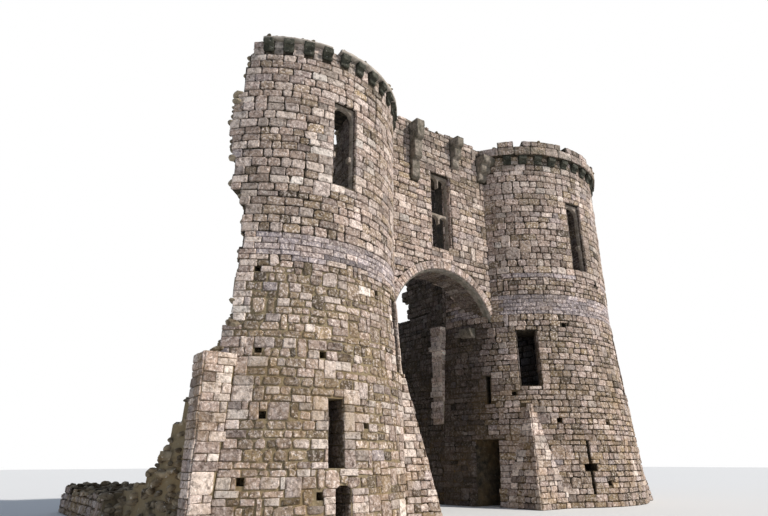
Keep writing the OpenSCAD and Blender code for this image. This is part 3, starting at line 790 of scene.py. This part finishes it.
def parapets():
    """The right tower's parapet, which stands on its corbels."""
    bed = Bed()
    r = RIGHT_R + CORBEL_OUT + 0.02
    top = RIGHT_TOP + PARAPET_H + PARAPET_TOP_H
    face = round_face(RIGHT_AXIS, r, -70, 90, RIGHT_TOP, top, battered=False)
    lay(bed, face, [(PARAPET_H, "large", "pink"), (TO_TOP, "coursed", "cream")], 13)
    finish_bed("right_parapet_facing", bed)


def spur_end(spur, z):
    """How far from the axis the side of a spur has met the drum."""
    _, _, half, draw, _, radius = spur
    reach = out_r(radius, z) + 0.06
    return math.sqrt(reach**2 - (half - draw * z) ** 2)


def spur_face(spur, front):
    """One face of a spur, from where it has met the drum to the spur's edge."""
    (x, y), side, half, draw, top, _ = spur
    near = min(spur_end(spur, 0), spur_end(spur, top)) - 0.05
    slope = draw / math.sqrt(1 + draw * draw)
    # seen from outside, the edge is at the right end of one face and at the left end of the other
    start_at_edge = (side < 0) == front

    def place(u, v):
        edge = half - draw * v
        away = edge - u if start_at_edge else near + u
        away = np.minimum(away, edge)
        if front:
            point = np.stack([x + side * away, y - edge + 0 * u, v + 0 * u], -1)
            normal = np.stack([0 * v, -1 + 0 * v, slope + 0 * v], -1)
        else:
            point = np.stack([x + side * edge + 0 * u, y - away, v + 0 * u], -1)
            normal = np.stack([side + 0 * v, 0 * v, slope + 0 * v], -1)
        return point, normal / np.linalg.norm(normal, axis=-1, keepdims=True)

    return Face(place, half - near, top)


def spurs():
    """Both faces of each spur, with pale corner stones at its edge."""
    bed = Bed()
    for number, spur in enumerate(SPURS):
        zones = [(TO_TOP, "coursed", "warm")]
        for front in (True, False):
            lay(bed, spur_face(spur, front), zones, 20 + number * 2 + front, quoins="pale")
    finish_bed("spur_facing", bed)


def flanks():
    """The outer sides of the straight flanks behind the round fronts."""
    low = [(7.0, "rubble", "ochre"), (LOW_FLANK_H, "coursed", "warm")]
    high = [(TO_TOP, "coursed", "warm")]
    for name, axis, radius, side, top, seed in (
        ("left_gate", LEFT_AXIS, LEFT_R, 1, LEFT_TOP, 31),
        ("right_gate", RIGHT_AXIS, RIGHT_R, -1, RIGHT_TOP, 32),
        ("right_outer", RIGHT_AXIS, RIGHT_R, 1, RIGHT_TOP, 33),
        ("left_outer", LEFT_AXIS, LEFT_R, -1, 1.0, 34),
    ):
        bed = Bed()
        lay(bed, flank_face(axis, radius, side, 0, FLANK_LEN, 0, min(top, LOW_FLANK_H)), low, seed)
        if top > LOW_FLANK_H:
            lay(bed, flank_face(axis, radius, side, 0, FLANK_LEN, LOW_FLANK_H, top), high, seed + 10)
        finish_bed(name + "_flank_facing", bed)


def rooms():
    """Inner faces of the towers, in larger and rougher stones."""
    for name, axis, radius, top, seed in (
        ("left", LEFT_AXIS, LEFT_R, LEFT_TOP, 51), ("right", RIGHT_AXIS, RIGHT_R, RIGHT_TOP, 52),
    ):
        # painted shade: the stones in the rooms are made darker
        bed = Bed(ROOM_PAINTED_SHADE)
        inner = radius - WALL_T
        for low, high in ((0, FIRST_FLOOR - 0.5), (FIRST_FLOOR, SECOND_FLOOR - 0.5), (SECOND_FLOOR, top)):
            zones = [(TO_TOP, "hall", "warm")]
            lay(bed, round_face(axis, inner, -90, 90, low, high, inside=True, battered=False), zones, seed)
            for side in (-1, 1):
                # a flank's inner face looks the other way, like the outer face of a flank on the other side
                mirrored = (axis[0] + 2 * side * inner, axis[1])
                lay(
                    bed, flank_face(mirrored, inner, -side, 0, FLANK_LEN, low, high, battered=False),
                    zones, seed + side,
                )
            seed += 10
        finish_bed(name + "_room_facing", bed, uneven=0.03)


def rear_walls():
    """The outer and inner sides of the rear walls."""
    bed = Bed()
    for axis, radius, top, seed in ((LEFT_AXIS, LEFT_R, 1.0, 71), (RIGHT_AXIS, RIGHT_R, LOW_FLANK_H, 72)):
        back = axis[1] + FLANK_LEN
        wide = radius + BATTER
        zones = [(TO_TOP, "rubble", "ochre")]
        lay(bed, flat_face((axis[0] + wide, back, 0), (-1, 0, 0), (0, 0, 1), 2 * wide, top), zones, seed)
        inner = radius - WALL_T
        start = (axis[0] - inner, back - WALL_T, 0)
        lay(bed, flat_face(start, (1, 0, 0), (0, 0, 1), 2 * inner, top), [(TO_TOP, "hall", "warm")], seed + 2)
    finish_bed("rear_wall_facing", bed)


def gate():
    """The wall between the towers, the sides of its window, and the ring and underside of its arch."""
    bed = Bed()
    front = [(1.6, "blocks", "pink"), (TO_TOP, "blocks", "cream")]
    low = 7.0
    face = flat_face((-GATE_HALF, GATE_FRONT, low), (1, 0, 0), (0, 0, 1), 2 * GATE_HALF, GATE_TOP - low)
    lay(bed, face, front, 81, spared=on_arch_ring)
    face = flat_face((GATE_HALF, GATE_BACK, low), (-1, 0, 0), (0, 0, 1), 2 * GATE_HALF, GATE_TOP - low)
    lay(bed, face, front, 82)
    for side in (-1, 1):
        depth = REVEAL + 0.18
        start = (WINDOW_X + side * WINDOW_W / 2, GATE_FRONT + (depth if side > 0 else 0), WINDOW_SILL)
        face = flat_face(start, (0, -side, 0), (0, 0, 1), depth, WINDOW_HEAD - WINDOW_SILL)
        lay(bed, face, [(TO_TOP, "dressed", "pink")], 83 + side)
    finish_bed("gate_wall_facing", bed)
    bed = Bed()
    face = arch_face(ARCH_R + CHAMFER, ARCH_R + RING_T)
    lay(bed, face, [(TO_TOP, "voussoirs", "pink")], 86)
    finish_bed("arch_stones", bed, uneven=0.012)
    # painted shade: the stones under the arch are made darker
    bed = Bed(ROOM_PAINTED_SHADE)
    face = soffit_face(ARCH_R, GATE_FRONT + ARCH_EDGE, GATE_BACK)
    lay(bed, face, [(TO_TOP, "soffit", "warm")], 87, reach=0.1)
    finish_bed("arch_soffit", bed, uneven=0.012)


def jambs():
    """The broken jambs in the passage: their courses end unevenly, like teeth."""
    # painted sunlight: the jamb stones are made lighter and kept out of the passage's painted shade
    bed = Bed(1.15, paint_passage_shade=False)
    for side, axis, radius in ((-1, LEFT_AXIS, LEFT_R), (1, RIGHT_AXIS, RIGHT_R)):
        x = axis[0] - side * (radius + JAMB_OUT)
        height = JAMB_TOP - JAMB_FOOT
        start = (x, JAMB_FRONT + JAMB_T if side > 0 else JAMB_FRONT, JAMB_FOOT)
        face = flat_face(start, (0, -side, 0), (0, 0, 1), JAMB_T, height)
        lay(bed, face, [(TO_TOP, "toothing", "pale")], 96 + side, reach=0.1)
        start = (min(x, x + side * JAMB_OUT), JAMB_FRONT, JAMB_FOOT)
        face = flat_face(start, (1, 0, 0), (0, 0, 1), JAMB_OUT, height)
        lay(bed, face, [(TO_TOP, "toothed", "pale")], 98 + side, reach=0.1)
    finish_bed("passage_jamb_stones", bed, uneven=0.02)


def floors():
    """Flags on the upper floors."""
    # painted shade: the flags are made darker, like the rooms' walls
    bed = Bed(ROOM_PAINTED_SHADE)
    for axis, radius, top, length, seed in (
        (LEFT_AXIS, LEFT_R, FIRST_FLOOR, 4, 91), (LEFT_AXIS, LEFT_R, SECOND_FLOOR, 3, 92),
        (RIGHT_AXIS, RIGHT_R, FIRST_FLOOR, 5, 93), (RIGHT_AXIS, RIGHT_R, SECOND_FLOOR, 3, 94),
    ):
        inner = radius - WALL_T
        start = (axis[0] - inner, axis[1] - inner, top)
        face = flat_face(start, (1, 0, 0), (0, 1, 0), 2 * inner, inner + length)
        lay(bed, face, [(TO_TOP, "flags", "warm")], seed)
    finish_bed("floor_flags", bed, uneven=0.008)


def reveals():
    """Side faces of the windows and loops."""
    # painted shade: the stones of the reveals are made darker
    bed = Bed(REVEAL_PAINTED_SHADE)
    seed = 101
    towers = ((LEFT_AXIS, LEFT_R, LEFT_OPENINGS), (RIGHT_AXIS, RIGHT_R, RIGHT_OPENINGS))
    for axis, radius, openings in towers:
        for angle, low, high, width, back_width in openings:
            if width < 0.3:
                continue
            a = angle * DEGREE
            out = np.array([math.sin(a), -math.cos(a), 0])
            right = np.array([math.cos(a), math.sin(a), 0])
            centre = np.array([axis[0], axis[1], 0.0])
            for side in (-1, 1):
                face_r = out_r(radius, (low + high) / 2)
                outer = centre + out * face_r + right * side * width / 2
                knee = centre + out * (radius - REVEAL) + right * side * width / 2
                inner = centre + out * (radius - WALL_T - 0.3) + right * side * back_width / 2
                for one, other in ((outer, knee), (knee, inner)):
                    ends = (other, one) if side > 0 else (one, other)
                    start = ends[0] + (0, 0, low)
                    length = float(np.linalg.norm(ends[1] - ends[0]))
                    face = flat_face(start, ends[1] - ends[0], (0, 0, 1), length, high - low)
                    lay(bed, face, [(TO_TOP, "dressed", "warm")], seed, reach=0.1)
                    seed += 1
    finish_bed("window_reveals", bed, uneven=0.015)


def weathered(name, node, voxel, uneven, lump, made):
    """Makes a worn copy of a dressed CAD piece, which it replaces."""
    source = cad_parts[node].data.copy()
    source.materials.clear()
    values = {"Unevenness": uneven, "Lump size": lump, "Material": made}
    piece = grown(name, source, WEATHER, values, voxel)
    for polygon in piece.data.polygons:
        polygon.use_smooth = True
    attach(piece, "root")
    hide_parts(node)


def dressed_pieces():
    """The pieces of cut stone, each worn and in its own colour."""
    # the corbels' near-black colour is partly painted shade
    weathered("left_corbels", "left_corbel_course", 0.03, 0.05, 0.15, CORBELS_PAINTED_SHADE)
    weathered("right_corbels", "right_corbel_course", 0.03, 0.05, 0.15, CORBELS_PAINTED_SHADE)
    weathered("left_parapet_slabs", "left_parapet", 0.04, 0.05, 0.3, SLABS)
    weathered("gate_stepped_brackets", "gate_brackets", 0.035, 0.06, 0.2, BRACKETS)
    weathered("left_window_frame", "left_upper_window", 0.02, 0.02, 0.12, DRESSED)
    weathered("right_window_frame", "right_upper_window", 0.02, 0.02, 0.12, DRESSED)
    weathered("gate_tracery", "gate_window_tracery", 0.02, 0.015, 0.12, DRESSED)
    weathered("passage_imposts", "gate_imposts", 0.03, 0.03, 0.15, BRACKETS)


def in_opening(angle, z, radius, openings):
    """Whether a place on a round front is in one of its openings or close beside it."""
    return any(
        low - 0.15 < z < high + 0.15 and abs(angle - at) * DEGREE * radius < back / 2 + 0.2
        for at, low, high, _, back in openings
    )


def broken_points(tops, density, seed):
    """Points spread over the broken tops of the walls, or over their broken ends."""
    rng = np.random.default_rng(seed)
    found = []
    for name, node in sorted(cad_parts.items()):
        broken = any(word in name for word in ("wall", "flank", "stump", "parapet"))
        if not broken or name == "gate_wall_lower":
            continue
        if not tops and (name.startswith("gate") or "parapet" in name or "rear_wall" in name):
            continue
        axis, radius, openings = (LEFT_AXIS, LEFT_R, LEFT_OPENINGS)
        if name.startswith("right"):
            axis, radius, openings = (RIGHT_AXIS, RIGHT_R, RIGHT_OPENINGS)
        mesh = node.data
        mesh.calc_loop_triangles()
        for triangle in mesh.loop_triangles:
            normal = triangle.normal
            if (normal.z > 0.5) != tops or normal.z < -0.3:
                continue
            corners = [mesh.vertices[i].co for i in triangle.vertices]
            for _ in range(rng.poisson(triangle.area * density)):
                s, t = sorted(rng.random(2))
                point = corners[0] * s + corners[1] * (t - s) + corners[2] * (1 - t)
                beside_arch = abs(point.x - ARCH_X) < DOOR_SIDE and point.y < DOOR_BACK
                if point.z < 0.15 or abs(point.z - WINDOW_SILL) < 0.1 or point.z < DOOR_TOP and beside_arch:
                    continue
                dx, dy = point.x - axis[0], point.y - axis[1]
                r = math.hypot(dx, dy) if dy < 0 else abs(dx)
                on_face = abs(r - out_r(radius, point.z)) < 0.03 or abs(r - (radius - WALL_T)) < 0.03
                angle = math.degrees(math.atan2(dx, -dy))
                if not tops and on_face or dy < 0 and in_opening(angle, point.z, radius, openings):
                    continue
                way_out = model.ray_cast(point + normal * RAY_START, normal, FREE_UP)
                if way_out[0] is None or (way_out[3] > 0.5 and way_out[1].dot(normal) < 0):
                    found.append(point)
    return found


def broken_core():
    """Loose stones of the walls' core, on their broken tops and ends."""
    for name, tops, density, smallest, largest, seed in (
        ("broken_wall_tops", True, 11, 0.055, 0.12, 5), ("broken_wall_ends", False, 17, 0.08, 0.17, 6),
    ):
        mesh = bpy.data.meshes.new(name)
        mesh.from_pydata(broken_points(tops, density, seed), [], [])
        values = {
            "Smallest": smallest, "Largest": largest, "Seed": seed, "Unevenness": 0.08, "Lump size": 0.12,
            "Material": CORE,
        }
        piece = grown(name, mesh, ROCKS, values)
        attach(piece, "root")


for name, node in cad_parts.items():
    node.data.materials.clear()
    node.data.materials.append({"gate_arch": ARCH_STONE, "gate_jambs": JAMB_PAINTED_SUNLIT}.get(name, MORTAR))

tower_fronts()
parapets()
spurs()
flanks()
rooms()
rear_walls()
gate()
jambs()
floors()
reveals()
dressed_pieces()
broken_core()


# Floor, light and camera


def studio():
    """The floor, the pale surroundings and the sun."""
    mesh = bpy.data.meshes.new("studio_floor")
    far, low = 150.0, -0.002
    corners = [(-far, -far, low), (far, -far, low), (far, far, low), (-far, far, low)]
    mesh.from_pydata(corners, [], [(0, 1, 2, 3)])
    floor = bpy.data.objects.new("studio_floor", mesh)
    bpy.context.scene.collection.objects.link(floor)
    pale = bpy.data.materials.new("pale_floor")
    pale.use_nodes = True
    pale.node_tree.nodes["Principled BSDF"].inputs["Base Color"].default_value = linear("#dfe0df")
    pale.node_tree.nodes["Principled BSDF"].inputs["Roughness"].default_value = 0.9
    mesh.materials.append(pale)
    world = bpy.data.worlds.new("studio")
    bpy.context.scene.world = world
    world.use_nodes = True
    tree = world.node_tree
    tree.nodes.clear()
    seen = add(tree, "ShaderNodeBackground", {"Color": linear("#ffffff"), "Strength": 1.0}).outputs[0]
    light = add(tree, "ShaderNodeBackground", {"Color": linear("#cfe0fb"), "Strength": 0.38}).outputs[0]
    path = add(tree, "ShaderNodeLightPath").outputs
    eye = path["Is Camera Ray"]
    for ray in ("Is Glossy Ray", "Is Transmission Ray"):
        eye = add(tree, "ShaderNodeMath", {0: eye, 1: path[ray]}, operation="MAXIMUM").outputs[0]
    both = add(tree, "ShaderNodeMixShader", {0: eye, 1: light, 2: seen}).outputs[0]
    add(tree, "ShaderNodeOutputWorld", {0: both})
    sun = bpy.data.lights.new("key_light", "SUN")
    sun.energy = 3.8
    sun.angle = math.radians(2.5)
    sun.color = (1.0, 0.945, 0.885)
    lamp = bpy.data.objects.new("key_light", sun)
    bpy.context.scene.collection.objects.link(lamp)
    lamp.rotation_euler = Vector((-0.6, 0.8, -0.8)).to_track_quat("-Z", "Y").to_euler()


def camera():
    """The camera that was fitted to the photograph: at eye height, looking up and to the right."""
    # both in pixels
    photo_width, focal_length = 768, 558.111
    data = bpy.data.cameras.new("camera")
    data.sensor_width = 36
    data.lens = focal_length / photo_width * data.sensor_width
    data.clip_end = 500
    seat = bpy.data.objects.new("camera", data)
    bpy.context.scene.collection.objects.link(seat)
    yaw, pitch, roll = math.radians(36.502), math.radians(20.049), math.radians(-0.1578)
    look = Vector((math.sin(yaw) * math.cos(pitch), math.cos(yaw) * math.cos(pitch), math.sin(pitch)))
    turn = look.to_track_quat("-Z", "Y").to_matrix().to_4x4() @ Matrix.Rotation(roll, 4, "Z")
    seat.matrix_world = Matrix.Translation((-14.7828, -18.4761, 1.6)) @ turn
    bpy.context.scene.camera = seat


studio()
camera()
bpy.context.scene.view_settings.view_transform = "Standard"
